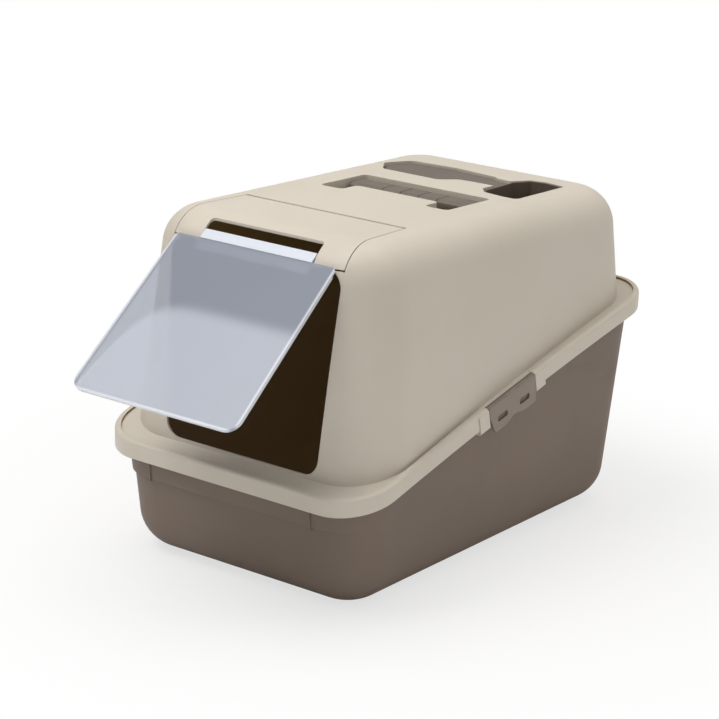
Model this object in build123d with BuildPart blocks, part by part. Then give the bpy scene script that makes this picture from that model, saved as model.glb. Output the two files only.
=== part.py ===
from build123d import *

import math
import os

os.makedirs("parts", exist_ok=True)

# All sizes are in millimetres. The door faces -Y and the tray stands on Z = 0.

# Rim of the hood seen from above, and the height of its lower edge from the side
rim_half_width = 195.0
rim_front = -294.4
rim_rear = 299.3
rim_corner = 58.5
rim_front_height = 121.3
rim_middle_height = 194.6
rim_rear_height = 255.9
skirt_height = 20.0
skirt_wall = 2.6
rim_lip_width = 7.0
rim_valley_depth = 3.0
rim_plate = 2.8
crest_radius = 3.4

# Hood walls, taken at a low and a high level and drafted between them, their sides measured in
# from the rim
hood_low_level = 100.0
hood_low_inset = 3.5
hood_low_front = -269.8
hood_low_rear = 297.0
hood_low_corner = 70.0
hood_high_level = 430.0
hood_high_inset = 33.7
hood_high_front = -243.1
hood_high_rear = 270.0
hood_high_corner = 62.0
hood_wall = 3.0
hood_top_radius = 48.0
roof_height = 403.0
roof_tilt = 1.2

# Tray walls, bottom and rim, their sides measured in from the hood's rim
tray_bottom_inset = 24.0
tray_bottom_front = -267.0
tray_bottom_rear = 268.0
tray_bottom_corner = 56.0
tray_top_level = 300.0
tray_top_inset = 5.5
tray_top_front = -301.0
tray_top_rear = 290.0
tray_top_corner = 60.0
tray_wall = 2.6
tray_floor = 3.0
tray_foot_radius = 50.0
tray_lip = 3.0
tray_lip_side_clearance = 3.4
tray_seat_clearance = 0.3
band_bottom = 98.0
band_proud = 5.0
band_side_inset = 0.4
band_rib_place = 116.5
band_rib_width = 2.2
band_rib_proud = 1.6

# Door opening and the cutout for the lid. A drop or a depth is measured down from the roof.
door_sill = 149.5
door_sill_half = 108.5
door_head_drop = 24.0
door_head_half = 121.3
door_corner = 20.0
lid_cut_front_half = 121.3
lid_cut_rear = -121.0
lid_cut_rear_half = 114.5
lid_cut_bend = -245.0
lid_cut_height = 36.0

# Front lid
lid_gap = 1.1
lid_lower_drop = 22.0
lid_barrel_radius = 4.0
lid_barrel_gap = 1.8
lid_pin_radius = 2.5
lid_pin_length = 7.0
pin_clearance = 0.06
hinge_boss_radius = 5.5
hinge_boss_length = 8.0
lid_slot_half = 80.0
lid_slot_rear = -222.5
lid_slot_corner = 5.0

# Flap and its hinge strip, drawn in a plane through the hinge axis
flap_axis_y = -239.3
flap_axis_drop = 22.9
flap_open_angle = 50.2
flap_top_half = 113.3
flap_bottom_half = 116.9
flap_length = 222.5
flap_top_drop = 3.0
flap_face = 6.9
flap_sheet = 2.0
flap_rim_depth = 4.0
flap_rim_wall = 1.8
flap_rim_start = 10.0
flap_top_corner = 6.0
flap_bottom_corner = 17.0
strip_side_gap = 0.9
strip_barrel_radius = 3.0
strip_tab = 10.5
strip_under = 14.0
strip_under_sheet = 1.6
strip_pin_radius = 2.0
strip_pin_length = 6.5
flap_boss_radius = 4.2
flap_boss_length = 8.0

# Recess for the carry handle, and the handle
recess_wall = 2.6
handle_recess_half = 92.5
handle_recess_rear = 75.5
handle_recess_front = -14.0
handle_recess_depth = 33.0
handle_tongue_half = 60.0
handle_tongue_rear = 16.0
handle_recess_corner = 7.0
handle_axis_y = -2.0
handle_axis_drop = 16.5
handle_side_gap = 5.5
handle_arm_width = 17.0
handle_arm_thick = 11.0
handle_grip_front = 38.0
handle_grip_rear = 70.0
handle_grip_lift = 5.0
handle_grip_thick = 14.0
handle_grip_round = 5.5
handle_groove_step = 26.5
handle_groove_width = 1.2
handle_groove_depth = 0.9
handle_pin_radius = 3.0

# Recess for the scoop, and the scoop
scoop_recess_depth = 37.0
scoop_bowl_depth = 55.0
scoop_grip_corner = 11.0
scoop_bowl_corner = 7.0
scoop_gap = 1.5
scoop_sheet = 2.4
scoop_top_drop = 6.0
scoop_bowl_top_drop = 4.9
scoop_seat_gap = 0.3
scoop_grip_inset = 2.0
scoop_grip_thick = 9.0
scoop_grip_round = 3.0
scoop_floor_round = 3.0
sieve_x = 82.0
sieve_y = 155.0
sieve_count = 5
sieve_pitch = 9.0
sieve_length = 62.0
sieve_width = 4.0

# Side clips
clip_middle_y = -16.5
clip_half_length = 47.0
clip_drop = 31.0
clip_axis_inset = 2.4
clip_axis_drop = 4.6
clip_thick = 3.0
clip_end_gap = 0.8
clip_knuckle_radius = 3.2
clip_pin_radius = 1.8
clip_pin_length = 7.0
clip_boss_length = 19.0
clip_slot_length = 20.0
clip_slot_height = 7.0
clip_slot_place = 22.5
clip_notch_depth = 8.0
clip_plate_out = 0.9
clip_boss_in = 3.2
clip_boss_out = 3.8
clip_boss_up = 3.2
clip_boss_down = 21.5
clip_top = 3.0
clip_boss_round = 3.0
clip_lobe = 9.0
clip_waist = 4.5
clip_lobe_round = 5.0
clip_front_taper = 8.0
clip_rear_taper = 3.0
clip_front_lobe = 26.0
clip_rear_lobe = 22.0
clip_slot_drop = 17.0
clip_slot_corner = 2.4

# Filter under the handle recess
filter_half_length = 58.0
filter_half_width = 24.0
filter_middle_y = 44.0
filter_thick = 8.0
filter_frame_wall = 2.0
filter_gap = 0.4
filter_frame_corner = 5.0
filter_pad_corner = 3.0
vent_count = 7
vent_pitch = 14.0
vent_width = 5.0
vent_length = 36.0

# Levels and places that follow from the sizes above
door_head = roof_height - door_head_drop
lid_lower_edge = roof_height - lid_lower_drop
flap_axis_z = roof_height - flap_axis_drop
handle_recess_floor = roof_height - handle_recess_depth
handle_axis_z = roof_height - handle_axis_drop
scoop_recess_floor = roof_height - scoop_recess_depth
scoop_bowl_floor = roof_height - scoop_bowl_depth
scoop_top = roof_height - scoop_top_drop
scoop_bowl_top = roof_height - scoop_bowl_top_drop
clip_notch_inner = rim_half_width - clip_notch_depth


def circle_through(p, q, r):
    """Centre and radius of the circle through three points."""
    (ax, ay), (bx, by), (cx, cy) = p, q, r
    d = 2 * (ax * (by - cy) + bx * (cy - ay) + cx * (ay - by))
    a, b, c = ax * ax + ay * ay, bx * bx + by * by, cx * cx + cy * cy
    ux = (a * (by - cy) + b * (cy - ay) + c * (ay - by)) / d
    uy = (a * (cx - bx) + b * (ax - cx) + c * (bx - ax)) / d
    return ux, uy, math.hypot(ax - ux, ay - uy)


rim_arc_y, rim_arc_z, rim_arc_radius = circle_through(
    (rim_front, rim_front_height), (0, rim_middle_height), (rim_rear, rim_rear_height)
)


rim_bulge = math.copysign(1, rim_middle_height - rim_arc_z)


def rim_height(y):
    """Height of the rim's lower edge at a distance along the box."""
    return rim_arc_z + rim_bulge * math.sqrt(rim_arc_radius**2 - (y - rim_arc_y) ** 2)


def roof_at(y):
    """Height of the roof at a distance along the box."""
    return roof_height - math.tan(math.radians(roof_tilt)) * y


reach = 1.12 * max(-rim_front, rim_rear)


def rim_slab(low, high):
    """Everything between two heights above the rim's lower edge."""
    with BuildPart() as slab:
        with BuildSketch(Plane.YZ):
            with BuildLine():
                edges = []
                for lift in (low, high):
                    points = [(y, rim_height(y) + lift) for y in (-reach, 0, reach)]
                    edges.append(ThreePointArc(*points))
                Line(edges[0] @ 0, edges[1] @ 0)
                Line(edges[0] @ 1, edges[1] @ 1)
            make_face()
        extrude(amount=rim_half_width + 20, both=True)
    return slab.part


def rim_outline(inset, low, high):
    """The rim's plan outline, drawn in by an inset, between two heights above the lower edge."""
    slab = rim_slab(low, high)
    with BuildPart() as ring:
        with BuildSketch():
            with Locations((0, (rim_front + rim_rear) / 2)):
                RectangleRounded(
                    2 * (rim_half_width - inset), rim_rear - rim_front - 2 * inset, rim_corner - inset
                )
        extrude(amount=2 * roof_height)
        add(slab, mode=Mode.INTERSECT)
    return ring.part


def drafted_block(sections, inset):
    """A block lofted between two rounded rectangles, drawn in all round by an inset."""
    with BuildPart() as block:
        for level, half, front, rear, corner in sections:
            with BuildSketch(Plane.XY.offset(level)):
                with Locations((0, (front + rear) / 2)):
                    RectangleRounded(2 * (half - inset), rear - front - 2 * inset, corner - inset)
        loft()
    return block.part


def hood_section(level):
    """The hood's plan at a level, on the line through its low and high ones."""
    share = (level - hood_low_level) / (hood_high_level - hood_low_level)
    low = (rim_half_width - hood_low_inset, hood_low_front, hood_low_rear, hood_low_corner)
    high = (rim_half_width - hood_high_inset, hood_high_front, hood_high_rear, hood_high_corner)
    return (level, *(a + share * (b - a) for a, b in zip(low, high)))


def hood_block(inset):
    """The hood's outer form, drawn in by an inset, with its tilted roof and rounded shoulders."""
    top_level = roof_height + hood_top_radius
    walls = drafted_block([hood_section(hood_low_level), hood_section(top_level)], inset)
    with BuildPart() as block:
        add(walls)
        with BuildSketch(Plane.YZ):
            with BuildLine():
                Polyline(
                    (-reach, roof_at(-reach) - inset),
                    (reach, roof_at(reach) - inset),
                    (reach, 2 * roof_height),
                    (-reach, 2 * roof_height),
                    close=True,
                )
            make_face()
        extrude(amount=rim_half_width + 20, both=True, mode=Mode.SUBTRACT)
        roof = block.faces().sort_by(Axis.Z)[-1]
        fillet(roof.edges(), hood_top_radius - inset)
    return block.part


hood_outer = hood_block(0)
hood_inner = hood_block(hood_wall)

flange_floor = skirt_height - rim_valley_depth
plate_underside = flange_floor - rim_plate

# Flange: skirt, raised lip and the valley between the lip and the hood's wall
lip_solid = rim_outline(0, 0, skirt_height)
valley_cut = rim_outline(rim_lip_width, flange_floor, skirt_height + 5)
rim_cavity = rim_outline(skirt_wall, -5, plate_underside)
above_plate = rim_slab(flange_floor - 1, 2 * roof_height)

with BuildPart() as flange:
    add(lip_solid)
    crest = flange.faces().filter_by(lambda face: face.normal_at().Z > 0.7)
    fillet(crest.edges(), crest_radius)
    add(valley_cut, mode=Mode.SUBTRACT)

# Both recesses in the roof, as outlines seen from above


def handle_recess_outline(grow):
    """The handle's recess, grown all round: a wide rear part and a pocket each side of a tongue."""
    with BuildSketch(mode=Mode.PRIVATE) as outline:
        with BuildLine():
            half = handle_recess_half + grow
            inner = handle_tongue_half - grow
            front = handle_recess_front - grow
            Polyline(
                (half, handle_recess_rear + grow),
                (half, front),
                (inner, front),
                (inner, handle_tongue_rear - grow),
                (-inner, handle_tongue_rear - grow),
                (-inner, front),
                (-half, front),
                (-half, handle_recess_rear + grow),
                close=True,
            )
        make_face()
        fillet(outline.vertices(), handle_recess_corner)
    return outline.sketch


scoop_grip_points = [(-121, 152), (-104, 189), (-40, 194), (30, 186), (30, 143), (2, 139), (-16, 119), (-100, 121)]
scoop_neck_points = [(15, 183), (62, 177), (62, 142), (15, 141)]
scoop_bowl_points = [(51, 179), (64, 203), (84, 208), (113, 203), (113, 98), (94, 98), (64, 103), (51, 118)]


def scoop_recess_outline(grow):
    """The scoop's recess: a long round well for the grip and a neck."""
    with BuildSketch(mode=Mode.PRIVATE) as outline:
        with BuildLine():
            Polyline(*scoop_grip_points, close=True)
        make_face()
        fillet(outline.vertices(), scoop_grip_corner)
        with BuildLine():
            Polyline(*scoop_neck_points, close=True)
        make_face()
        if grow:
            offset(amount=grow)
    return outline.sketch


def scoop_bowl_outline(grow):
    """The deeper well for the scoop's bowl."""
    with BuildSketch(mode=Mode.PRIVATE) as outline:
        with BuildLine():
            Polyline(*scoop_bowl_points, close=True)
        make_face()
        fillet(outline.vertices(), scoop_bowl_corner)
        if grow:
            offset(amount=grow)
    return outline.sketch


wells = [
    (handle_recess_outline, handle_recess_floor),
    (scoop_recess_outline, scoop_recess_floor),
    (scoop_bowl_outline, scoop_bowl_floor),
]

with BuildPart() as recess_walls:
    for outline, floor in wells:
        with BuildSketch(Plane.XY.offset(floor - recess_wall)):
            add(outline(recess_wall))
        extrude(amount=roof_height - floor + 30)
    add(hood_outer, mode=Mode.INTERSECT)

with BuildPart() as recess_cuts:
    for outline, floor in wells:
        with BuildSketch(Plane.XY.offset(floor)):
            add(outline(0))
        extrude(amount=roof_height - floor + 30)

# Door opening in the front wall, and the lid's cutout over it
door_depth = 60.0


def door_prism(grow):
    """The door opening seen from the front, grown all round."""
    with BuildPart() as prism:
        with BuildSketch(Plane.XZ.offset(-rim_front + 5)) as face:
            with BuildLine():
                Polyline(
                    (-door_sill_half - grow, door_sill - grow),
                    (door_sill_half + grow, door_sill - grow),
                    (door_head_half + grow, door_head + 1),
                    (-door_head_half - grow, door_head + 1),
                    close=True,
                )
            make_face()
            fillet(face.vertices().group_by(Axis.Z)[0], door_corner)
        extrude(amount=-2 * door_depth)
    return prism.part


def lid_prism(grow, level):
    """The lid's cutout seen from above, grown all round, from a level upwards."""
    with BuildPart() as prism:
        with BuildSketch(Plane.XY.offset(level)) as face:
            with BuildLine():
                Polyline(
                    (-lid_cut_front_half - grow, rim_front),
                    (lid_cut_front_half + grow, rim_front),
                    (lid_cut_front_half + grow, lid_cut_bend),
                    (lid_cut_rear_half + grow, lid_cut_rear + grow),
                    (-lid_cut_rear_half - grow, lid_cut_rear + grow),
                    (-lid_cut_front_half - grow, lid_cut_bend),
                    close=True,
                )
            make_face()
        extrude(amount=lid_cut_height)
    return prism.part


door_cut = door_prism(0)
lid_cut = lid_prism(0, door_head)

# Hinge axis of the lid, under the roof at the rear seam
lid_axis_y = lid_cut_rear - lid_barrel_gap - lid_barrel_radius
lid_axis_z = roof_at(lid_axis_y) - lid_barrel_radius

# Side clip plane: along the rim, with its normal pointing out of the box
clip_slope = math.atan((rim_height(clip_middle_y + 5) - rim_height(clip_middle_y - 5)) / 10)
clip_axis_z = rim_height(clip_middle_y) + skirt_height - clip_axis_drop
clip_axis_x = rim_half_width - clip_axis_inset
clip_run = (0, math.cos(clip_slope), math.sin(clip_slope))


def clip_plane(along, x):
    """A plane across the clip's axis, at a distance along it, with x outwards and y down."""
    origin = (x, clip_middle_y + along * clip_run[1], clip_axis_z + along * clip_run[2])
    return Plane(origin=origin, x_dir=(1, 0, 0), z_dir=clip_run)


clip_face = Plane(
    origin=(clip_axis_x, clip_middle_y, clip_axis_z), x_dir=clip_run, z_dir=(1, 0, 0)
)


# Filter vents through the floor of the handle's recess
with BuildPart() as vents:
    with BuildSketch(Plane.XY.offset(handle_recess_floor - recess_wall - 1)):
        with Locations((0, filter_middle_y)):
            with GridLocations(vent_pitch, 1, vent_count, 1):
                SlotCenterToCenter(vent_length - vent_width, vent_width, rotation=90)
    extrude(amount=recess_wall + 2)

# Bosses and holes for the lid's pins, and holes for the handle's pins
lid_pin_start = lid_cut_rear_half - lid_gap
with BuildPart() as lid_bosses:
    with BuildSketch(Plane.YZ.offset(lid_cut_rear_half + lid_gap)):
        with Locations((lid_axis_y, lid_axis_z)):
            Circle(hinge_boss_radius)
    extrude(amount=hinge_boss_length)
    mirror(about=Plane.YZ)
    add(hood_outer, mode=Mode.INTERSECT)

with BuildPart() as hood_pin_holes:
    with BuildSketch(Plane.YZ.offset(lid_pin_start)):
        with Locations((lid_axis_y, lid_axis_z)):
            Circle(lid_pin_radius + pin_clearance)
    extrude(amount=lid_pin_length + 1)
    with BuildSketch(Plane.YZ.offset(handle_recess_half - 1)):
        with Locations((handle_axis_y, handle_axis_z)):
            Circle(handle_pin_radius + pin_clearance)
    extrude(amount=recess_wall + 2)
    mirror(about=Plane.YZ)

# Notch in the flange for each clip, with a boss at each end of it
clip_depth = rim_half_width - clip_notch_inner + 4
with BuildPart() as clip_notches:
    with BuildSketch(clip_face.offset(clip_notch_inner - clip_axis_x)):
        Rectangle(2 * (clip_half_length + clip_end_gap), 2 * clip_drop)
    extrude(amount=clip_depth)
    mirror(about=Plane.YZ)

with BuildPart() as clip_bosses:
    for side in (-1, 1):
        start = clip_half_length + clip_end_gap
        near = start if side > 0 else -start - clip_boss_length
        with BuildSketch(clip_plane(near, clip_axis_x)) as end:
            with Locations(((clip_boss_out - clip_boss_in) / 2, (clip_boss_down - clip_boss_up) / 2)):
                Rectangle(clip_boss_out + clip_boss_in, clip_boss_up + clip_boss_down)
            fillet(end.vertices().group_by(Axis.X)[-1], clip_boss_round)
        extrude(amount=clip_boss_length)
    mirror(about=Plane.YZ)

with BuildPart() as clip_pin_holes:
    for side in (-1, 1):
        start = clip_half_length - 1
        near = start if side > 0 else -start - clip_pin_length - 2
        with BuildSketch(clip_plane(near, clip_axis_x)):
            Circle(clip_pin_radius + pin_clearance)
        extrude(amount=clip_pin_length + 2)
    mirror(about=Plane.YZ)

with BuildPart() as hood:
    add(hood_outer)
    add(above_plate, mode=Mode.INTERSECT)
    add(flange.part)
    add(hood_inner, mode=Mode.SUBTRACT)
    add(rim_cavity, mode=Mode.SUBTRACT)
    add(recess_walls.part)
    add(recess_cuts.part, mode=Mode.SUBTRACT)
    add(door_cut, mode=Mode.SUBTRACT)
    add(lid_cut, mode=Mode.SUBTRACT)
    add(vents.part, mode=Mode.SUBTRACT)
    add(lid_bosses.part)
    add(clip_notches.part, mode=Mode.SUBTRACT)
    add(clip_bosses.part)
    add(hood_pin_holes.part, mode=Mode.SUBTRACT)
    add(clip_pin_holes.part, mode=Mode.SUBTRACT)
hood.part.label = "hood"
export_step(hood.part, "parts/hood.step")

# Tray: drafted walls, a lip that carries the hood, a proud band along the front
tray_bottom_half = rim_half_width - tray_bottom_inset
tray_top_half = rim_half_width - tray_top_inset
tray_low = (0, tray_bottom_half, tray_bottom_front, tray_bottom_rear, tray_bottom_corner)
tray_high = (tray_top_level, tray_top_half, tray_top_front, tray_top_rear, tray_top_corner)
lip_top = plate_underside - tray_seat_clearance
lip_inset = skirt_wall + tray_lip_side_clearance

tray_outer = drafted_block([tray_low, tray_high], 0)
tray_inner = drafted_block([tray_low, tray_high], tray_wall)
below_lip = rim_slab(-reach, lip_top)
lip_ring = rim_outline(lip_inset, lip_top - tray_lip, lip_top)


def band_section(section):
    """A tray section with its front moved forward and its sides drawn in a little."""
    level, half, front, rear, corner = section
    return (level, half - band_side_inset, front - band_proud, rear - band_proud, corner)


band_block = drafted_block([band_section(tray_low), band_section(tray_high)], 0)

with BuildPart() as tray:
    add(tray_outer)
    base = tray.faces().sort_by(Axis.Z)[0]
    fillet(base.edges(), tray_foot_radius)
    add(below_lip, mode=Mode.INTERSECT)

with BuildPart() as band:
    add(band_block)
    split(bisect_by=Plane.XY.offset(band_bottom), keep=Keep.TOP)
    split(bisect_by=Plane.XZ, keep=Keep.TOP)
    add(below_lip, mode=Mode.INTERSECT)

with BuildPart() as ribs:
    for x in (-band_rib_place, band_rib_place):
        with BuildSketch(Plane.YZ.offset(x - band_rib_width / 2)):
            front = tray_bottom_front - band_proud
            slope = (tray_top_front - tray_bottom_front) / tray_top_level
            with BuildLine():
                low, high = band_bottom - 2, rim_front_height + 6
                Polyline(
                    (front + slope * low - band_rib_proud, low),
                    (front + slope * high - band_rib_proud, high),
                    (front + slope * high + 4, high),
                    (front + slope * low + 4, low),
                    close=True,
                )
            make_face()
        extrude(amount=band_rib_width)

with BuildPart() as tray_void:
    add(tray_inner)
    split(bisect_by=Plane.XY.offset(tray_floor), keep=Keep.TOP)
    ground = tray_void.faces().sort_by(Axis.Z)[0]
    fillet(ground.edges(), tray_foot_radius - tray_wall)

with BuildPart() as tray_shell:
    add(tray.part)
    add(band.part)
    add(ribs.part)
    add(lip_ring)
    add(tray_void.part, mode=Mode.SUBTRACT)
tray_shell.part.label = "tray"
export_step(tray_shell.part, "parts/tray.step")

# Flap plane: local x across, local y up along the flap, local z out of the box
flap_lean = math.radians(flap_open_angle)
flap_plane = Plane(
    origin=(0, flap_axis_y, flap_axis_z),
    x_dir=(1, 0, 0),
    z_dir=(0, -math.cos(flap_lean), math.sin(flap_lean)),
)


def flap_side(x):
    """A plane across the flap at one place, seen from its side, with x out and y up the flap."""
    return Plane(origin=(x, flap_axis_y, flap_axis_z), x_dir=flap_plane.z_dir, z_dir=(-1, 0, 0))


# Front lid: a piece of the same shell with a rear barrel and a notch for the hinge strip
lid_piece = lid_prism(-lid_gap, lid_lower_edge)
lid_barrel_half = lid_cut_rear_half - lid_gap

with BuildPart() as front_lid:
    add(hood_outer)
    add(hood_inner, mode=Mode.SUBTRACT)
    add(lid_piece, mode=Mode.INTERSECT)
    with BuildSketch(Plane.XY.offset(lid_lower_edge - 5)) as notch:
        with BuildLine():
            Polyline(
                (-lid_slot_half, rim_front),
                (lid_slot_half, rim_front),
                (lid_slot_half, lid_slot_rear),
                (-lid_slot_half, lid_slot_rear),
                close=True,
            )
        make_face()
        fillet(notch.vertices().group_by(Axis.Y)[-1], lid_slot_corner)
    extrude(amount=60, mode=Mode.SUBTRACT)
    with BuildSketch(Plane.XZ.offset(-lid_axis_y)):
        with Locations((0, roof_height)):
            Rectangle(4 * lid_cut_rear_half, 60)
    extrude(amount=-20, mode=Mode.SUBTRACT)
    with BuildSketch(Plane.YZ.offset(-lid_barrel_half)):
        with Locations((lid_axis_y, lid_axis_z)):
            Circle(lid_barrel_radius)
    extrude(amount=2 * lid_barrel_half)
    with BuildSketch(Plane.YZ.offset(-lid_barrel_half - lid_pin_length)):
        with Locations((lid_axis_y, lid_axis_z)):
            Circle(lid_pin_radius)
    extrude(amount=2 * (lid_barrel_half + lid_pin_length))
    for x in (-lid_slot_half - flap_boss_length, lid_slot_half):
        with BuildSketch(Plane.YZ.offset(x)):
            with Locations((flap_axis_y, flap_axis_z)):
                Circle(flap_boss_radius)
        extrude(amount=flap_boss_length)
    with BuildSketch(Plane.YZ.offset(-lid_slot_half - flap_boss_length)):
        with Locations((flap_axis_y, flap_axis_z)):
            Circle(strip_pin_radius + pin_clearance)
    extrude(amount=2 * (lid_slot_half + flap_boss_length), mode=Mode.SUBTRACT)
front_lid.part.label = "front_lid"
export_step(front_lid.part, "parts/front_lid.step")

# Flap: a clear sheet with turned-back rims
flap_back = flap_face - flap_sheet
flap_end = -flap_top_drop - flap_length


def flap_outline(inset, top):
    """The flap's outline, drawn in by an inset, from its lower edge to a level under its axis."""
    with BuildSketch(mode=Mode.PRIVATE) as outline:
        with BuildLine():
            Polyline(
                (-flap_bottom_half + inset, flap_end + inset),
                (flap_bottom_half - inset, flap_end + inset),
                (flap_top_half - inset, top),
                (-flap_top_half + inset, top),
                close=True,
            )
        make_face()
        corners = outline.vertices().group_by(Axis.Y)
        fillet(corners[0], flap_bottom_corner - inset)
        fillet(outline.vertices().group_by(Axis.Y)[-1], flap_top_corner)
    return outline.sketch


with BuildPart() as flap:
    with BuildSketch(flap_plane.offset(flap_face)):
        add(flap_outline(0, -flap_top_drop))
    extrude(amount=-flap_sheet)
    with BuildSketch(flap_plane.offset(flap_back)):
        add(flap_outline(0, -flap_rim_start))
        add(flap_outline(flap_rim_wall, -flap_rim_start + 9), mode=Mode.SUBTRACT)
    extrude(amount=-(flap_rim_depth - flap_sheet))
flap.part.label = "flap"
export_step(flap.part, "parts/flap.step")

# Hinge strip: a barrel on the flap's axis, a tab up into the lid's notch, a leaf under the flap
strip_half = lid_slot_half - strip_side_gap
with BuildPart() as flap_hinge_strip:
    with BuildSketch(flap_side(strip_half)) as section:
        with BuildLine():
            Polyline(
                (0, -1.6),
                (flap_back - strip_under_sheet, -flap_top_drop + 0.1),
                (flap_back - strip_under_sheet, -flap_top_drop - strip_under),
                (flap_back, -flap_top_drop - strip_under),
                (flap_back, -flap_top_drop),
                (flap_face, -flap_top_drop),
                (flap_face, strip_tab - 1),
                (flap_face - 1, strip_tab),
                (flap_back, strip_tab),
                (flap_back, 1.6),
                (0, 1.6),
                close=True,
            )
        make_face()
        Circle(strip_barrel_radius)
    extrude(amount=2 * strip_half)
    with BuildSketch(flap_side(strip_half + strip_pin_length)):
        Circle(strip_pin_radius)
    extrude(amount=2 * (strip_half + strip_pin_length))
flap_hinge_strip.part.label = "flap_hinge_strip"
export_step(flap_hinge_strip.part, "parts/flap_hinge_strip.step")

# Carry handle: a bail with two arms and moulded pins
handle_half = handle_recess_half - handle_side_gap
handle_arm_inner = handle_half - handle_arm_width
grip_middle_y = (handle_grip_front + handle_grip_rear) / 2
grip_middle_z = handle_axis_z + handle_grip_lift
handle_arm_bottom = handle_axis_z - handle_arm_thick / 2

with BuildPart() as carry_handle:
    with BuildSketch(Plane.YZ.offset(-handle_half)) as grip_section:
        with Locations((grip_middle_y, grip_middle_z)):
            RectangleRounded(handle_grip_rear - handle_grip_front, handle_grip_thick, handle_grip_round)
    extrude(amount=2 * handle_half)
    for x in (-handle_half, handle_arm_inner):
        with BuildSketch(Plane.YZ.offset(x)):
            with BuildLine():
                Polyline(
                    (handle_axis_y, handle_arm_bottom),
                    (grip_middle_y, handle_arm_bottom),
                    (grip_middle_y, handle_arm_bottom + handle_arm_thick),
                    (handle_axis_y, handle_arm_bottom + handle_arm_thick),
                    close=True,
                )
            make_face()
            with Locations((handle_axis_y, handle_axis_z)):
                Circle(handle_arm_thick / 2)
        extrude(amount=handle_arm_width)
    with BuildSketch(Plane.YZ.offset(-handle_recess_half - recess_wall + 0.3)):
        with Locations((handle_axis_y, handle_axis_z)):
            Circle(handle_pin_radius)
    extrude(amount=2 * (handle_recess_half + recess_wall - 0.3))
    with BuildSketch(Plane.YZ.offset(-handle_arm_inner)):
        with Locations((handle_axis_y, handle_axis_z)):
            Circle(handle_arm_thick)
    extrude(amount=2 * handle_arm_inner, mode=Mode.SUBTRACT)
    for step in (-1.5, -0.5, 0.5, 1.5):
        x = step * handle_groove_step - handle_groove_width / 2
        with BuildSketch(Plane.YZ.offset(x)):
            with Locations((grip_middle_y, grip_middle_z)):
                RectangleRounded(
                    handle_grip_rear - handle_grip_front + 2, handle_grip_thick + 2, handle_grip_round + 1
                )
                RectangleRounded(
                    handle_grip_rear - handle_grip_front - 2 * handle_groove_depth,
                    handle_grip_thick - 2 * handle_groove_depth,
                    handle_grip_round - handle_groove_depth,
                    mode=Mode.SUBTRACT,
                )
        extrude(amount=handle_groove_width, mode=Mode.SUBTRACT)
carry_handle.part.label = "carry_handle"
export_step(carry_handle.part, "parts/carry_handle.step")

# Side clips: a plate with two slots and two lobes below, hung on pins along its top edge


def clip_outline():
    """The clip's outline, from just above its axis to a lower edge in two lobes."""
    half = clip_half_length
    low = -clip_drop
    with BuildSketch(mode=Mode.PRIVATE) as outline:
        with BuildLine():
            front_foot = (-half + clip_front_taper, low)
            rear_foot = (half - clip_rear_taper, low)
            front_lobe_end = (-half + clip_front_lobe, low)
            rear_lobe_end = (half - clip_rear_lobe, low)
            Polyline(front_foot, (-half, -clip_lobe), (-half, clip_top), (half, clip_top))
            Polyline((half, clip_top), (half, -clip_lobe), rear_foot, rear_lobe_end)
            Spline(
                rear_lobe_end, (0, low + clip_waist), front_lobe_end,
                tangents=[(-1, 0), (-1, 0)],
            )
            Line(front_lobe_end, front_foot)
        make_face()
        lobes = outline.vertices().group_by(Axis.Y)[0].sort_by(Axis.X)
        fillet([lobes[0], lobes[-1]], clip_lobe_round)
        for x in (-clip_slot_place, clip_slot_place):
            with Locations((x, -clip_slot_drop)):
                RectangleRounded(
                    clip_slot_length, clip_slot_height, clip_slot_corner, mode=Mode.SUBTRACT
                )
    return outline.sketch


with BuildPart() as clip_right:
    with BuildSketch(clip_face.offset(clip_plate_out)):
        add(clip_outline())
    extrude(amount=clip_thick)
    with BuildSketch(clip_plane(-clip_half_length, clip_axis_x)):
        Circle(clip_knuckle_radius)
    extrude(amount=2 * clip_half_length)
    with BuildSketch(clip_plane(-clip_half_length - clip_pin_length, clip_axis_x)):
        Circle(clip_pin_radius)
    extrude(amount=2 * (clip_half_length + clip_pin_length))
clip_right.part.label = "clip_right"
export_step(clip_right.part, "parts/clip_right.step")

with BuildPart() as clip_left:
    add(clip_right.part)
    mirror(about=Plane.YZ, mode=Mode.REPLACE)
clip_left.part.label = "clip_left"
export_step(clip_left.part, "parts/clip_left.step")

# Scoop: a flat grip, a neck and a deep bowl with sieve slots
bowl_bottom = scoop_bowl_floor + scoop_seat_gap
bowl_depth = scoop_bowl_top - bowl_bottom
with BuildPart() as scoop:
    with BuildSketch(Plane.XY.offset(scoop_top - scoop_grip_thick)):
        add(scoop_recess_outline(-scoop_grip_inset))
    extrude(amount=scoop_grip_thick)
    grip_top = scoop.faces().sort_by(Axis.Z)[-1]
    fillet(grip_top.edges(), scoop_grip_round)
    with BuildSketch(Plane.XY.offset(bowl_bottom)):
        add(scoop_bowl_outline(-scoop_gap))
    extrude(amount=bowl_depth)
with BuildPart() as scoop_hollow:
    with BuildSketch(Plane.XY.offset(bowl_bottom + scoop_sheet)):
        add(scoop_bowl_outline(-scoop_gap - scoop_sheet))
    extrude(amount=bowl_depth)
    floor = scoop_hollow.faces().sort_by(Axis.Z)[0]
    fillet(floor.edges(), scoop_floor_round)
    with BuildSketch(Plane.XY.offset(bowl_bottom - 1)):
        with Locations((sieve_x, sieve_y)):
            with GridLocations(sieve_pitch, 1, sieve_count, 1):
                SlotCenterToCenter(sieve_length, sieve_width, rotation=90)
    extrude(amount=bowl_depth / 2)
with BuildPart() as litter_scoop:
    add(scoop.part)
    add(scoop_hollow.part, mode=Mode.SUBTRACT)
litter_scoop.part.label = "litter_scoop"
export_step(litter_scoop.part, "parts/litter_scoop.step")

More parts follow.
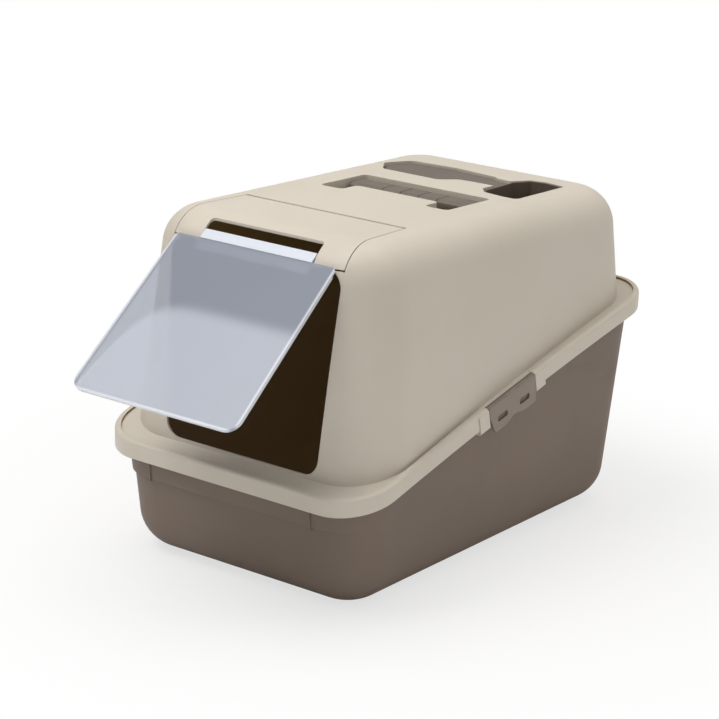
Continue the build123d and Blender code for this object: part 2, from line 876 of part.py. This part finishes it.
# Filter pad in a snap-in frame under the handle's recess
frame_top = handle_recess_floor - recess_wall
frame_bottom = frame_top - filter_thick - 2 * filter_gap - filter_frame_wall
with BuildPart() as filter_frame:
    with BuildSketch(Plane.XY.offset(frame_bottom)):
        with Locations((0, filter_middle_y)):
            RectangleRounded(
                2 * (filter_half_length + filter_gap + filter_frame_wall),
                2 * (filter_half_width + filter_gap + filter_frame_wall),
                filter_frame_corner,
            )
    extrude(amount=frame_top - frame_bottom)
    with BuildSketch(Plane.XY.offset(frame_bottom + filter_frame_wall)):
        with Locations((0, filter_middle_y)):
            RectangleRounded(
                2 * (filter_half_length + filter_gap),
                2 * (filter_half_width + filter_gap),
                filter_pad_corner,
            )
    extrude(amount=filter_thick + 3, mode=Mode.SUBTRACT)
    with BuildSketch(Plane.XY.offset(frame_bottom - 1)):
        with Locations((0, filter_middle_y)):
            with GridLocations(vent_pitch, filter_half_width, vent_count, 2):
                SlotCenterToCenter(filter_half_width / 2, vent_width + 2, rotation=90)
    extrude(amount=filter_frame_wall + 2, mode=Mode.SUBTRACT)
filter_frame.part.label = "filter_frame"
export_step(filter_frame.part, "parts/filter_frame.step")

with BuildPart() as filter_pad:
    with BuildSketch(Plane.XY.offset(frame_bottom + filter_frame_wall + filter_gap)):
        with Locations((0, filter_middle_y)):
            RectangleRounded(2 * filter_half_length, 2 * filter_half_width, filter_pad_corner)
    extrude(amount=filter_thick)
filter_pad.part.label = "filter_pad"
export_step(filter_pad.part, "parts/filter_pad.step")

bodies = [hood, tray_shell, front_lid, flap, flap_hinge_strip, carry_handle]
bodies += [clip_right, clip_left, litter_scoop, filter_frame, filter_pad]
for body in bodies:
    print(body.part.label, round(body.part.volume), len(body.part.solids()), body.part.is_valid)
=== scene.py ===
# %% [markdown]
# # A covered litter box, dressed for a studio picture
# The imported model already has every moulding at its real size: the tray, the hood with its lid and
# flap, the carry handle, the scoop, the side clips and the filter. It could all be modelled again
# in Blender, but then the joints would no longer fit. So the mouldings stay as they are, and this
# file gives them what injection moulded plastic has: grain, gloss, softened edges and a little
# variation.

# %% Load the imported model
import math

import bpy
from mathutils import Matrix, Vector


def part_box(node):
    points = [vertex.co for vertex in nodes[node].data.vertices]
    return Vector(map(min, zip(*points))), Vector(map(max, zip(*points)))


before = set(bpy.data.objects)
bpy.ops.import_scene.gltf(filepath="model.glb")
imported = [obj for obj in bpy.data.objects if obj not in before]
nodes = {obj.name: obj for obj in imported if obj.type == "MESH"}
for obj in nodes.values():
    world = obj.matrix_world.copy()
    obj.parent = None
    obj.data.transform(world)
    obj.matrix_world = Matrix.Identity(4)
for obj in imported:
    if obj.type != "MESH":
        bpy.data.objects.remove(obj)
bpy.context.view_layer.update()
print("mouldings:", sorted(nodes))

# %% [markdown]
# ## Smooth shading
# A moulding comes as flat triangles. The real surfaces are smooth and turn sharply only at an edge.
# A subdivision would change the shape, so shading is smoothed by angle instead, which leaves every
# point where the mould put it.

# %% Shade the mouldings smooth up to an edge angle
EDGE_ANGLE = math.radians(28)
for node in nodes.values():
    node.data.shade_smooth()
    node.data.set_sharp_from_angle(angle=EDGE_ANGLE)
print("smooth up to", round(math.degrees(EDGE_ANGLE)), "degrees")

# %% [markdown]
# ## Small tools for building node trees
# Each finish is a tree of shader nodes. The same few steps come back in all of them: make a node,
# set its values, join two sockets. Short helpers keep the finishes readable.

# %% Helpers for node trees
def add_node(tree, kind, values=None, **settings):
    """A node with its settings and the values of its unlinked inputs."""
    node = tree.nodes.new(kind)
    for name, value in settings.items():
        setattr(node, name, value)
    for key, value in (values or {}).items():
        node.inputs[key].default_value = value
    return node


def new_group(name, inputs, outputs):
    """An empty node group with named sockets, and its two end nodes."""
    group = bpy.data.node_groups.new(name, "ShaderNodeTree")
    for label, kind, value in inputs:
        socket = group.interface.new_socket(name=label, in_out="INPUT", socket_type=kind)
        socket.default_value = value
    for label, kind in outputs:
        group.interface.new_socket(name=label, in_out="OUTPUT", socket_type=kind)
    return group, group.nodes.new("NodeGroupInput"), group.nodes.new("NodeGroupOutput")


def place_group(tree, group, values=None):
    """A group's node in a tree, with its own values."""
    node = tree.nodes.new("ShaderNodeGroup")
    node.node_tree = group
    for label, value in (values or {}).items():
        node.inputs[label].default_value = value
    return node


def mix_colours(tree, factor, first, second):
    """A colour that goes from first to second as the factor rises; each is a colour or a socket."""
    mix = tree.nodes.new("ShaderNodeMix")
    mix.data_type = "RGBA"
    for place, source in ((0, factor), (6, first), (7, second)):
        if isinstance(source, bpy.types.NodeSocket):
            tree.links.new(source, mix.inputs[place])
        else:
            mix.inputs[place].default_value = source
    return mix.outputs[2]


def calculate(tree, operation, first, second=0.0):
    """One sum on two values; each is a number or a socket."""
    node = tree.nodes.new("ShaderNodeMath")
    node.operation = operation
    for place, source in enumerate((first, second)):
        if isinstance(source, bpy.types.NodeSocket):
            tree.links.new(source, node.inputs[place])
        else:
            node.inputs[place].default_value = source
    return node.outputs[0]


def map_range(tree, value, low, high, to_low=0.0, to_high=1.0):
    """A value moved from one range to another, smooth at both ends."""
    node = tree.nodes.new("ShaderNodeMapRange")
    node.interpolation_type = "SMOOTHSTEP"
    tree.links.new(value, node.inputs["Value"])
    for label, number in (
        ("From Min", low), ("From Max", high), ("To Min", to_low), ("To Max", to_high)
    ):
        node.inputs[label].default_value = number
    return node.outputs["Result"]


print("helpers ready")

# %% [markdown]
# ## Moulded grain
# The mould is spark eroded or blasted, so its plastic has a fine pebbled skin and a slow, cloudy
# change of tone where the resin cooled at different rates. Noise at two sizes makes both. A picture
# texture would need a seamless map at every scale, while noise in the object's own coordinates has
# no seams and rides with the piece when it moves.

# %% Build the moulded grain group
grain_group, start, end = new_group(
    "moulded grain",
    [("Grain Scale", "NodeSocketFloat", 1400.0), ("Cloud Scale", "NodeSocketFloat", 7.0)],
    [("Height", "NodeSocketFloat"), ("Cloud", "NodeSocketFloat")],
)
place = add_node(grain_group, "ShaderNodeTexCoord")
pebble = add_node(grain_group, "ShaderNodeTexVoronoi", {"Randomness": 0.9}, feature="SMOOTH_F1")
fine = add_node(grain_group, "ShaderNodeTexNoise", {"Detail": 3.0, "Roughness": 0.6})
cloud = add_node(grain_group, "ShaderNodeTexNoise", {"Detail": 4.0, "Roughness": 0.45})
for texture, scale in ((pebble, "Grain Scale"), (fine, "Grain Scale"), (cloud, "Cloud Scale")):
    grain_group.links.new(place.outputs["Object"], texture.inputs["Vector"])
    grain_group.links.new(start.outputs[scale], texture.inputs["Scale"])
skin = calculate(grain_group, "ADD", pebble.outputs["Distance"], fine.outputs["Fac"])
grain_group.links.new(skin, end.inputs["Height"])
grain_group.links.new(map_range(grain_group, cloud.outputs["Fac"], 0.32, 0.68), end.inputs["Cloud"])
print("group:", grain_group.name)

# %% [markdown]
# ## Handling marks
# Plastic that is lifted, wiped and stacked gets faint streaks that are a little duller or shinier
# than the skin round them. Stretched noise, cut off so that only its peaks show, gives them. They
# feed roughness more than colour, because that is what the eye sees on new plastic.

# %% Build the handling marks group
marks_group, start, end = new_group(
    "handling marks",
    [("Scale", "NodeSocketFloat", 9.0), ("Stretch", "NodeSocketVector", (1.0, 1.0, 4.0))],
    [("Marks", "NodeSocketFloat")],
)
place = add_node(marks_group, "ShaderNodeTexCoord")
stretched = add_node(marks_group, "ShaderNodeVectorMath", operation="MULTIPLY")
marks_group.links.new(place.outputs["Object"], stretched.inputs[0])
marks_group.links.new(start.outputs["Stretch"], stretched.inputs[1])
streak = add_node(marks_group, "ShaderNodeTexNoise", {"Detail": 6.0, "Distortion": 0.8})
marks_group.links.new(stretched.outputs[0], streak.inputs["Vector"])
marks_group.links.new(start.outputs["Scale"], streak.inputs["Scale"])
peaks = map_range(marks_group, streak.outputs["Fac"], 0.55, 0.78)
marks_group.links.new(peaks, end.inputs["Marks"])
print("group:", marks_group.name)

# %% [markdown]
# ## Settled dust
# Fine litter dust settles on what faces up and stays off the walls. The surface's own normal says
# which way it faces, and noise breaks the film up. It could be scattered as real specks, but at
# arm's length dust is only a slight veil.

# %% Build the settled dust group
dust_group, start, end = new_group(
    "settled dust",
    [("Scale", "NodeSocketFloat", 60.0)],
    [("Dust", "NodeSocketFloat")],
)
place = add_node(dust_group, "ShaderNodeTexCoord")
facing = add_node(dust_group, "ShaderNodeSeparateXYZ")
dust_group.links.new(place.outputs["Normal"], facing.inputs[0])
film = add_node(dust_group, "ShaderNodeTexNoise", {"Detail": 5.0})
dust_group.links.new(place.outputs["Object"], film.inputs["Vector"])
dust_group.links.new(start.outputs["Scale"], film.inputs["Scale"])
level = map_range(dust_group, facing.outputs["Z"], 0.5, 1.0)
speckle = map_range(dust_group, film.outputs["Fac"], 0.35, 0.75)
dust_group.links.new(calculate(dust_group, "MULTIPLY", level, speckle), end.inputs["Dust"])
print("group:", dust_group.name)

# %% [markdown]
# ## Inside of a shell
# The hood's inside is beige like its outside and never polished, but little light gets in, so it
# looks near black through the door and its faces get a painted shade, a dark brown. Its faces look
# back at the middle of the box, so the angle between a face and the way out from a middle point
# tells inside from outside, with no second mesh and no image mask.

# %% Build the inside group
LOOKS_IN_FULL, LOOKS_IN_NONE = -0.145, -0.128
inside_group, start, end = new_group(
    "inside of a shell",
    [
        ("Middle", "NodeSocketVector", (0.0, 0.0, 0.2)),
        ("Well Middle", "NodeSocketVector", (0.0, 0.1, 0.37)),
        ("Well Half Size", "NodeSocketVector", (0.13, 0.12, 0.03)),
    ],
    [("Inside", "NodeSocketFloat")],
)
place = add_node(inside_group, "ShaderNodeTexCoord")
way_out = add_node(inside_group, "ShaderNodeVectorMath", operation="SUBTRACT")
inside_group.links.new(place.outputs["Object"], way_out.inputs[0])
inside_group.links.new(start.outputs["Middle"], way_out.inputs[1])
turn = add_node(inside_group, "ShaderNodeVectorMath", operation="DOT_PRODUCT")
inside_group.links.new(place.outputs["Normal"], turn.inputs[0])
inside_group.links.new(way_out.outputs[0], turn.inputs[1])
looks_in = map_range(
    inside_group, turn.outputs["Value"], LOOKS_IN_FULL, LOOKS_IN_NONE, 1.0, 0.0
)
from_well = add_node(inside_group, "ShaderNodeVectorMath", operation="SUBTRACT")
inside_group.links.new(place.outputs["Object"], from_well.inputs[0])
inside_group.links.new(start.outputs["Well Middle"], from_well.inputs[1])
distance = add_node(inside_group, "ShaderNodeVectorMath", operation="ABSOLUTE")
inside_group.links.new(from_well.outputs[0], distance.inputs[0])
past = add_node(inside_group, "ShaderNodeVectorMath", operation="SUBTRACT")
inside_group.links.new(distance.outputs[0], past.inputs[0])
inside_group.links.new(start.outputs["Well Half Size"], past.inputs[1])
parts = add_node(inside_group, "ShaderNodeSeparateXYZ")
inside_group.links.new(past.outputs[0], parts.inputs[0])
furthest = calculate(inside_group, "MAXIMUM", parts.outputs["X"], parts.outputs["Y"])
furthest = calculate(inside_group, "MAXIMUM", furthest, parts.outputs["Z"])
off_well = calculate(inside_group, "GREATER_THAN", furthest, 0.0)
inside_faces = calculate(inside_group, "MULTIPLY", looks_in, off_well)
inside_group.links.new(inside_faces, end.inputs["Inside"])
print("group:", inside_group.name)

# %% [markdown]
# ## One recipe for moulded plastic
# Hood, tray, handle and clips are the same kind of plastic in different colours. Each gets its own
# material, but the way its grain, marks and dust reach the shader is the same. The Bevel node
# rounds the shading of sharp edges by the radius that a mould leaves, which gives the thin bright
# lines along the recesses.

# %% Define the moulded plastic recipe
DUST_COLOUR = (0.72, 0.70, 0.66, 1)
MARKS_DULLING, DUST_DULLING = 0.09, 0.8
GRAIN_DEPTH = 0.0002


def moulded_plastic(name, light, deep, roughness, edge=0.0008, grain=1400.0, relief=0.12, dust=0.1):
    """A material for an opaque moulding, with its node tree, shader and colour socket."""
    material = bpy.data.materials.new(name)
    material.use_nodes = True
    tree = material.node_tree
    tree.nodes.clear()
    output = add_node(tree, "ShaderNodeOutputMaterial")
    shader = add_node(tree, "ShaderNodeBsdfPrincipled")
    tree.links.new(shader.outputs[0], output.inputs["Surface"])
    skin = place_group(tree, grain_group, {"Grain Scale": grain})
    marks = place_group(tree, marks_group)
    film = place_group(tree, dust_group)
    colour = mix_colours(tree, skin.outputs["Cloud"], (*light, 1), (*deep, 1))
    veil = calculate(tree, "MULTIPLY", film.outputs["Dust"], dust)
    colour = mix_colours(tree, veil, colour, DUST_COLOUR)
    tree.links.new(colour, shader.inputs["Base Color"])
    gloss = map_range(tree, marks.outputs["Marks"], 0.0, 1.0, roughness, roughness + MARKS_DULLING)
    gloss = calculate(tree, "ADD", gloss, calculate(tree, "MULTIPLY", veil, DUST_DULLING))
    tree.links.new(gloss, shader.inputs["Roughness"])
    rounded = add_node(tree, "ShaderNodeBevel", {"Radius": edge}, samples=6)
    bump = add_node(tree, "ShaderNodeBump", {"Strength": relief, "Distance": GRAIN_DEPTH})
    tree.links.new(skin.outputs["Height"], bump.inputs["Height"])
    tree.links.new(rounded.outputs[0], bump.inputs["Normal"])
    tree.links.new(bump.outputs[0], shader.inputs["Normal"])
    return material, tree, shader, colour


def finish_with(material, *names):
    """Puts a material in every slot of the named mouldings."""
    for name in names:
        node = nodes[name]
        if not node.data.materials:
            node.data.materials.append(material)
        for index in range(len(node.data.materials)):
            node.data.materials[index] = material
    print(material.name, "on", ", ".join(names))


# %% [markdown]
# ## Hood and lid
# The hood and its front lid are warm beige polypropylene with a satin skin. The lid has the plain
# recipe. The hood adds a painted shade on its inside, a dark brown in place of the beige, which
# shows through the door. A wall 2 mm thick lets a little daylight through, browner than it came in.
# Tracing that light in the wall would be slow, so a very faint warm glow on the inside faces stands
# for it.

# %% Finish the hood and the lid
BEIGE_LIGHT = (0.655, 0.600, 0.515)
BEIGE_DEEP = (0.630, 0.575, 0.490)
# Painted shade: the dark brown that the beige hood's inside faces take for the shade in the hood.
INSIDE_PAINTED_SHADE = (0.20, 0.13, 0.055, 1)
NO_GLOW = (0.0, 0.0, 0.0, 1)
WALL_GLOW = (0.016, 0.0095, 0.003, 1)


def let_light_through(tree, shader, inside):
    """Gives the inside faces of a thin wall the warm light that comes through it."""
    glow = mix_colours(tree, inside.outputs["Inside"], NO_GLOW, WALL_GLOW)
    tree.links.new(glow, shader.inputs["Emission Color"])
    shader.inputs["Emission Strength"].default_value = 1.0


lid_plastic = moulded_plastic("lid_beige", BEIGE_LIGHT, BEIGE_DEEP, 0.42)[0]
finish_with(lid_plastic, "front_lid")

hood_plastic, tree, shader, colour = moulded_plastic("hood_beige", BEIGE_LIGHT, BEIGE_DEEP, 0.44)
inside = place_group(tree, inside_group)
# Painted shade: the hood's inside faces take a dark brown in place of their beige.
tree.links.new(
    mix_colours(tree, inside.outputs["Inside"], colour, INSIDE_PAINTED_SHADE), shader.inputs["Base Color"]
)
let_light_through(tree, shader, inside)
finish_with(hood_plastic, "hood")

# %% [markdown]
# ## Tray
# The tray is a deep taupe, a shade rougher than the hood because it is scraped with a scoop, so it
# gets more relief and a lower gloss. Its walls are thin too, so its inside has the same faint glow.

# %% Finish the tray
TRAY_MIDDLE, NO_WELL = (0.0, 0.0, 0.1), (0.0, 0.0, 0.0)
TAUPE_LIGHT = (0.215, 0.166, 0.132)
TAUPE_DEEP = (0.195, 0.151, 0.119)
tray_plastic, tree, shader, _ = moulded_plastic(
    "tray_taupe", TAUPE_LIGHT, TAUPE_DEEP, 0.55, edge=0.0012, relief=0.16, dust=0.05
)
shader.inputs["Specular IOR Level"].default_value = 0.35
inside = place_group(tree, inside_group, {"Middle": TRAY_MIDDLE, "Well Half Size": NO_WELL})
let_light_through(tree, shader, inside)
finish_with(tray_plastic, "tray")

# %% [markdown]
# ## Handle, scoop and clips
# The parts that a hand touches are taupe with a smoother skin, polished by use. In the photograph
# the clips are the lightest, the handle is darker and the scoop is darker still, so each gets its
# own mix.

# %% Finish the handle, the clips and the scoop
clip_plastic = moulded_plastic(
    "clip_taupe", (0.262, 0.210, 0.174), (0.240, 0.192, 0.158), 0.4, edge=0.001, dust=0.06
)[0]
finish_with(clip_plastic, "clip_right", "clip_left")
grip_plastic = moulded_plastic(
    "grip_taupe", (0.150, 0.122, 0.097), (0.136, 0.110, 0.087), 0.4, edge=0.001, dust=0.03
)[0]
finish_with(grip_plastic, "carry_handle")
scoop_plastic = moulded_plastic(
    "scoop_taupe", (0.140, 0.110, 0.088), (0.124, 0.097, 0.077), 0.38, edge=0.001, dust=0.02
)[0]
finish_with(scoop_plastic, "litter_scoop")

# %% [markdown]
# ## Flap
# The flap is a thin milky sheet: it scatters most light, lets some through, and looks whiter at its
# rims, where one looks along the sheet. Real scattering inside 2 mm of plastic is slow and noisy to
# render, so the sheet mixes a pale blue skin with see-through alpha, and a mask drawn from the
# flap's own outline makes the rims whiter and denser. Below a bent line the sheet gets a painted
# reflection, paler and denser, and that line bends down steeply near the hinge's far end, so a
# curve splits it.

# %% Measure the flap and set its rim mask
FLAP_AXIS = Vector((0.0, -0.2393, 0.3801))
FLAP_LEAN = math.radians(50.2)
FLAP_DOWN = Vector((0.0, -math.sin(FLAP_LEAN), -math.cos(FLAP_LEAN)))
FLAP_HALF_TOP, FLAP_HALF_BOTTOM, FLAP_LENGTH = 0.1133, 0.1169, 0.2255
flap_low, flap_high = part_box("flap")
print("flap from", [round(v, 3) for v in flap_low], "to", [round(v, 3) for v in flap_high])

flap_plastic = bpy.data.materials.new("flap_milky")
flap_plastic.use_nodes = True
tree = flap_plastic.node_tree
tree.nodes.clear()
output = add_node(tree, "ShaderNodeOutputMaterial")
shader = add_node(tree, "ShaderNodeBsdfPrincipled", {"IOR": 1.49, "Specular IOR Level": 0.5})
tree.links.new(shader.outputs[0], output.inputs["Surface"])
place = add_node(tree, "ShaderNodeTexCoord")
from_axis = add_node(tree, "ShaderNodeVectorMath", operation="SUBTRACT")
tree.links.new(place.outputs["Object"], from_axis.inputs[0])
from_axis.inputs[1].default_value = FLAP_AXIS
along = add_node(tree, "ShaderNodeVectorMath", operation="DOT_PRODUCT")
tree.links.new(from_axis.outputs[0], along.inputs[0])
along.inputs[1].default_value = FLAP_DOWN
across = add_node(tree, "ShaderNodeSeparateXYZ")
tree.links.new(place.outputs["Object"], across.inputs[0])
widening = (FLAP_HALF_BOTTOM - FLAP_HALF_TOP) / FLAP_LENGTH
half_here = calculate(
    tree, "ADD", calculate(tree, "MULTIPLY", along.outputs["Value"], widening), FLAP_HALF_TOP
)
side_gap = calculate(tree, "SUBTRACT", half_here, calculate(tree, "ABSOLUTE", across.outputs["X"]))
end_gap = calculate(tree, "SUBTRACT", FLAP_LENGTH, along.outputs["Value"])
edge_gap = calculate(tree, "MINIMUM", side_gap, end_gap)
RIM_FULL, RIM_NONE = 0.0016, 0.0042
rim = map_range(tree, edge_gap, RIM_FULL, RIM_NONE, 1.0, 0.0)
# Painted reflection: the sheet is paler and denser below a bent line across it.
share_down = calculate(tree, "DIVIDE", along.outputs["Value"], FLAP_LENGTH)
share_across = calculate(tree, "DIVIDE", across.outputs["X"], half_here)
share_across = calculate(tree, "MULTIPLY", calculate(tree, "ADD", share_across, 1.0), 0.5)
LINE_LEVEL, LINE_DROP, LINE_REACH, LINE_BLUR = 0.42, 0.85, 0.075, 0.06
bend = calculate(tree, "EXPONENT", calculate(tree, "DIVIDE", share_across, -LINE_REACH))
line = calculate(tree, "ADD", calculate(tree, "MULTIPLY", bend, LINE_DROP), LINE_LEVEL)
below = calculate(tree, "SUBTRACT", share_down, line)
reflection_zone = map_range(tree, below, -LINE_BLUR, LINE_BLUR)

# %% Mix the flap's colour, opacity and gloss
skin = place_group(tree, grain_group, {"Grain Scale": 500.0, "Cloud Scale": 5.0})
marks = place_group(tree, marks_group, {"Scale": 14.0})
CLEAR_MILK = (0.350, 0.390, 0.480, 1)
REFLECTION_MILK = (0.550, 0.590, 0.690, 1)
RIM_MILK = (0.74, 0.77, 0.84, 1)
# The paler milk below the bent line is the painted reflection.
milk = mix_colours(tree, reflection_zone, CLEAR_MILK, REFLECTION_MILK)
milk = mix_colours(tree, rim, milk, RIM_MILK)
tree.links.new(milk, shader.inputs["Base Color"])
# The painted reflection also raises the density below the bent line.
CLEAR_DENSITY, REFLECTION_DENSITY, CLOUD_ADDS, RIM_ADDS = 0.55, 0.74, 0.03, 0.2
density = map_range(tree, reflection_zone, 0.0, 1.0, CLEAR_DENSITY, REFLECTION_DENSITY)
for mask, adds in ((skin.outputs["Cloud"], CLOUD_ADDS), (rim, RIM_ADDS)):
    density = calculate(tree, "ADD", density, calculate(tree, "MULTIPLY", mask, adds))
tree.links.new(density, shader.inputs["Alpha"])
gloss = map_range(tree, marks.outputs["Marks"], 0.0, 1.0, 0.275, 0.29)
tree.links.new(gloss, shader.inputs["Roughness"])
bump = add_node(tree, "ShaderNodeBump", {"Strength": 0.05, "Distance": 0.0002})
tree.links.new(skin.outputs["Height"], bump.inputs["Height"])
tree.links.new(bump.outputs[0], shader.inputs["Normal"])
finish_with(flap_plastic, "flap")

# %% [markdown]
# ## Hinge strip
# The strip that snaps into the lid is moulded thicker so that it doesn't bend. Its bluish white is
# the sheet's milky tone with a painted highlight on top, so it takes the common recipe, with no
# see-through, in a bluish white.

# %% Finish the hinge strip
# Painted highlight: the bluish white lifts the strip's milky tone to the highlight on it.
hinge_highlight_plastic = moulded_plastic(
    "hinge_painted_highlight", (0.72, 0.77, 0.86), (0.68, 0.73, 0.83), 0.3, edge=0.0006, relief=0.05, dust=0.0
)[0]
finish_with(hinge_highlight_plastic, "flap_hinge_strip")

# %% [markdown]
# ## Filter
# Under the handle's recess a snap-in frame holds a pad of charcoal felt. The frame takes the common
# recipe in near black. Felt has no gloss and a tangle of fibres, so its relief comes from two
# layers of stretched noise that cross each other.

# %% Finish the filter frame and the felt pad
frame_plastic = moulded_plastic(
    "filter_frame_black", (0.045, 0.042, 0.040), (0.035, 0.033, 0.031), 0.45, dust=0.04
)[0]
finish_with(frame_plastic, "filter_frame")

felt = bpy.data.materials.new("carbon_felt")
felt.use_nodes = True
tree = felt.node_tree
tree.nodes.clear()
output = add_node(tree, "ShaderNodeOutputMaterial")
shader = add_node(tree, "ShaderNodeBsdfPrincipled", {"Specular IOR Level": 0.2})
tree.links.new(shader.outputs[0], output.inputs["Surface"])
place = add_node(tree, "ShaderNodeTexCoord")
layers = []
for stretch in ((900.0, 120.0, 400.0), (140.0, 800.0, 400.0)):
    lay = add_node(tree, "ShaderNodeVectorMath", operation="MULTIPLY")
    tree.links.new(place.outputs["Object"], lay.inputs[0])
    lay.inputs[1].default_value = stretch
    fibres = add_node(tree, "ShaderNodeTexNoise", {"Scale": 1.0, "Detail": 5.0, "Distortion": 1.5})
    tree.links.new(lay.outputs[0], fibres.inputs["Vector"])
    layers.append(fibres.outputs["Fac"])
tangle = calculate(tree, "MAXIMUM", *layers)
FELT_DEEP, FELT_TOP = (0.010, 0.010, 0.011, 1), (0.050, 0.050, 0.052, 1)
tree.links.new(mix_colours(tree, tangle, FELT_DEEP, FELT_TOP), shader.inputs["Base Color"])
tree.links.new(map_range(tree, tangle, 0.3, 0.8, 0.85, 1.0), shader.inputs["Roughness"])
bump = add_node(tree, "ShaderNodeBump", {"Strength": 0.7, "Distance": 0.0008})
tree.links.new(tangle, bump.inputs["Height"])
tree.links.new(bump.outputs[0], shader.inputs["Normal"])
finish_with(felt, "filter_pad")

# %% [markdown]
# ## Floor
# The box stands on a pale sweep. A curved backdrop would do, but a flat floor that runs out to
# white keeps the soft shadow near the box and loses the horizon. Only the camera sees that white,
# also its share near the box, so it adds no light to the box.

# %% Lay the floor
FLOOR_HALF, FLOOR_LEVEL = 6.0, -0.0004
PAPER_WARM, PAPER_COOL = (0.93, 0.935, 0.95, 1), (0.95, 0.955, 0.965, 1)
floor_mesh = bpy.data.meshes.new("floor")
corners = [
    (x * FLOOR_HALF, y * FLOOR_HALF, FLOOR_LEVEL) for x, y in ((-1, -1), (1, -1), (1, 1), (-1, 1))
]
floor_mesh.from_pydata(corners, [], [(0, 1, 2, 3)])
floor = bpy.data.objects.new("floor", floor_mesh)
bpy.context.scene.collection.objects.link(floor)

sweep = bpy.data.materials.new("pale_sweep")
sweep.use_nodes = True
tree = sweep.node_tree
tree.nodes.clear()
output = add_node(tree, "ShaderNodeOutputMaterial")
paper = add_node(tree, "ShaderNodeBsdfPrincipled", {"Roughness": 0.7, "Specular IOR Level": 0.1})
white = add_node(tree, "ShaderNodeEmission", {"Color": (1, 1, 1, 1), "Strength": 1.0})
place = add_node(tree, "ShaderNodeTexCoord")
fibre = add_node(tree, "ShaderNodeTexNoise", {"Scale": 40.0, "Detail": 4.0})
tree.links.new(place.outputs["Object"], fibre.inputs["Vector"])
tree.links.new(
    mix_colours(tree, fibre.outputs["Fac"], PAPER_WARM, PAPER_COOL), paper.inputs["Base Color"]
)
away = add_node(tree, "ShaderNodeVectorMath", operation="LENGTH")
tree.links.new(place.outputs["Object"], away.inputs[0])
FADE_START, FADE_END, NEAR_WHITE = 0.36, 0.72, 0.68
fade = map_range(tree, away.outputs["Value"], FADE_START, FADE_END, NEAR_WHITE, 1.0)
seen = add_node(tree, "ShaderNodeLightPath")
share = add_node(tree, "ShaderNodeMixShader")
tree.links.new(calculate(tree, "MULTIPLY", fade, seen.outputs["Is Camera Ray"]), share.inputs[0])
tree.links.new(paper.outputs[0], share.inputs[1])
tree.links.new(white.outputs[0], share.inputs[2])
tree.links.new(share.outputs[0], output.inputs["Surface"])
floor_mesh.materials.append(sweep)
print("floor of", 2 * FLOOR_HALF, "m")

# %% [markdown]
# ## Light
# A catalogue picture has one large softbox above and to the left of the camera, and white walls
# that fill the shadows. A softbox is an area light. The walls are the world's own light, brighter
# behind and to the right as in the photograph, and the camera sees that world as plain white.

# %% Set the softboxes and the world
BOX_MIDDLE = (0, 0, 0.2)


def softbox(name, place, aim, size, power, tint):
    """A square area light that looks at a point."""
    light = bpy.data.lights.new(name, "AREA")
    light.size = size
    light.energy = power
    light.color = tint
    lamp = bpy.data.objects.new(name, light)
    lamp.location = place
    lamp.rotation_euler = (Vector(aim) - Vector(place)).to_track_quat("-Z", "Y").to_euler()
    bpy.context.scene.collection.objects.link(lamp)
    print(name, "at", place, "with", power, "W")


softbox("key_softbox", (-1.0, -1.4, 2.9), BOX_MIDDLE, 1.8, 50.0, (1.0, 0.985, 0.96))
softbox("top_softbox", (-0.1, 0.2, 2.6), BOX_MIDDLE, 2.0, 19.0, (1.0, 0.99, 0.975))

world = bpy.data.worlds.new("studio_walls")
bpy.context.scene.world = world
world.use_nodes = True
tree = world.node_tree
tree.nodes.clear()
output = add_node(tree, "ShaderNodeOutputWorld")
WALL_DIM, WALL_BRIGHT = (0.230, 0.225, 0.216, 1), (0.660, 0.643, 0.614, 1)
BRIGHT_WAY = (0.7, 0.7, 0.0)
walls = add_node(tree, "ShaderNodeBackground", {"Strength": 1.0})
place = add_node(tree, "ShaderNodeTexCoord")
toward = add_node(tree, "ShaderNodeVectorMath", operation="DOT_PRODUCT")
tree.links.new(place.outputs["Generated"], toward.inputs[0])
toward.inputs[1].default_value = BRIGHT_WAY
bright_side = map_range(tree, toward.outputs["Value"], -1.0, 1.0)
tree.links.new(mix_colours(tree, bright_side, WALL_DIM, WALL_BRIGHT), walls.inputs["Color"])
backdrop = add_node(tree, "ShaderNodeBackground", {"Color": (1, 1, 1, 1), "Strength": 1.0})
seen = add_node(tree, "ShaderNodeLightPath")
share = add_node(tree, "ShaderNodeMixShader")
tree.links.new(seen.outputs["Is Camera Ray"], share.inputs[0])
tree.links.new(walls.outputs[0], share.inputs[1])
tree.links.new(backdrop.outputs[0], share.inputs[2])
tree.links.new(share.outputs[0], output.inputs["Surface"])
bpy.context.scene.view_settings.view_transform = "Standard"

# %% [markdown]
# ## Camera
# The picture is taken from the front right and a little above, with a long lens, so the edges run
# nearly parallel. The angles, the distance and the lens were fitted to the corners of the box.

# %% Place the camera
AZIMUTH, ELEVATION, ROLL = (math.radians(v) for v in (36.732, 17.058, 1.915))
LENS, SENSOR = 119.98, 36.0
AIM = Vector((-0.04042, 0.00634, 0.19224))
DISTANCE = 2.89206
back = Vector(
    (
        math.sin(AZIMUTH) * math.cos(ELEVATION),
        -math.cos(AZIMUTH) * math.cos(ELEVATION),
        math.sin(ELEVATION),
    )
)
right = Vector((math.cos(AZIMUTH), math.sin(AZIMUTH), 0.0))
up = back.cross(right)
rolled_right = math.cos(ROLL) * right + math.sin(ROLL) * up
rolled_up = -math.sin(ROLL) * right + math.cos(ROLL) * up
camera_data = bpy.data.cameras.new("camera")
camera_data.lens = LENS
camera_data.sensor_width = SENSOR
camera = bpy.data.objects.new("camera", camera_data)
bpy.context.scene.collection.objects.link(camera)
facing = Matrix((rolled_right, rolled_up, back)).transposed().to_4x4()
camera.matrix_world = Matrix.Translation(AIM + back * DISTANCE) @ facing
bpy.context.scene.camera = camera
print("camera at", [round(v, 3) for v in camera.location])
